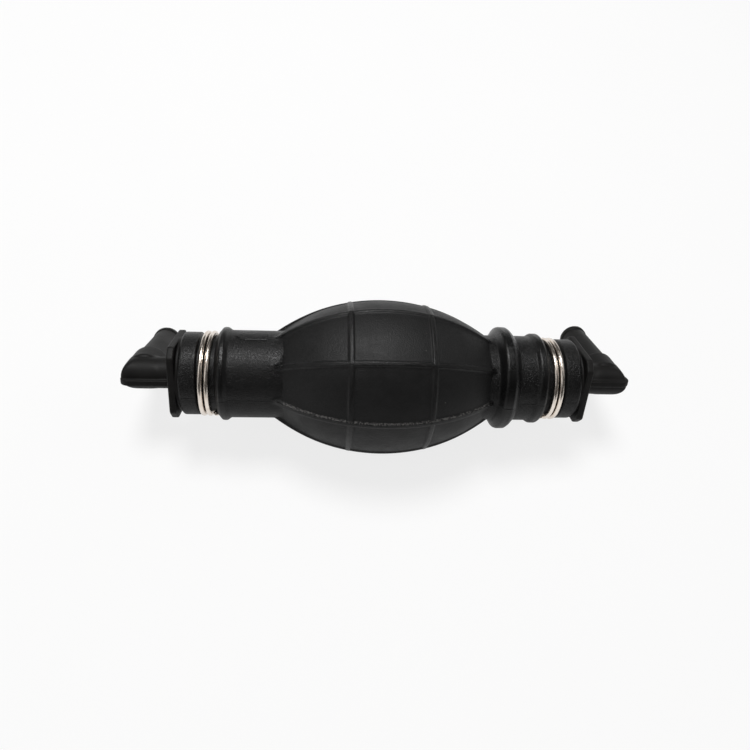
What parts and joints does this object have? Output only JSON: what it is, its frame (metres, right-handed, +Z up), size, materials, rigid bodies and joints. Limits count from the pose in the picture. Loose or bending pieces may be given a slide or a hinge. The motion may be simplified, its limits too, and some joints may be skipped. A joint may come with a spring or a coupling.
{
  "type": "siphon bulb pump",
  "caption": "Hand siphon pump: a ribbed rubber squeeze bulb between two elbowed hose barbs, held by wire clips, with a sprung check valve at each end.",
  "frame": {"origin": "on the table under the middle of the pump's box, as the pump lies on its bulb and its outlet barb", "axes": "+X along the bulb's axis towards the inlet (against the flow), +Y back towards the hose barbs, +Z up"},
  "size_m": [0.175, 0.0587, 0.0524],
  "materials": {
    "bulb_rubber": "matte moulded rubber",
    "connector_plastic": "satin moulded plastic",
    "clip_wire": "bright nickel-plated spring wire",
    "valve_plastic": "natural acetal",
    "seal_rubber": "matte",
    "spring_steel": "drawn stainless wire"
  },
  "bodies": {
    "bulb": {"bulb": "bulb_rubber", "outlet_wire_clip": "clip_wire", "inlet_wire_clip": "clip_wire"},
    "outlet_connector": {"outlet_elbow": "connector_plastic", "outlet_valve_seat": "valve_plastic", "outlet_valve_spring": "spring_steel", "outlet_spring_cage": "valve_plastic"},
    "inlet_connector": {"inlet_elbow": "connector_plastic", "inlet_valve_seat": "valve_plastic", "inlet_valve_spring": "spring_steel", "inlet_spring_cage": "valve_plastic"},
    "outlet_poppet": {"outlet_valve_poppet": "valve_plastic", "outlet_seal_ring": "seal_rubber"},
    "inlet_poppet": {"inlet_valve_poppet": "valve_plastic", "inlet_seal_ring": "seal_rubber"}
  },
  "joints": [
    {"name": "outlet_swivel", "type": "hinge", "parent": "bulb", "child": "outlet_connector", "pos_m": [-0.06692, -0.00326, 0.0262], "axis": [1, 0, 0], "continuous": true},
    {"name": "inlet_swivel", "type": "hinge", "parent": "bulb", "child": "inlet_connector", "pos_m": [0.06692, -0.00326, 0.0262], "axis": [1, 0, 0], "continuous": true},
    {"name": "outlet_valve_lift", "type": "slide", "parent": "outlet_connector", "child": "outlet_poppet", "axis": [-1, 0, 0], "range_m": [0, 0.0025], "stiffness_N_per_m": 120, "springref_m": -0.002, "deforming": ["outlet_valve_spring"]},
    {"name": "inlet_valve_lift", "type": "slide", "parent": "inlet_connector", "child": "inlet_poppet", "axis": [-1, 0, 0], "range_m": [0, 0.0025], "stiffness_N_per_m": 120, "springref_m": -0.002, "deforming": ["inlet_valve_spring"]}
  ]
}
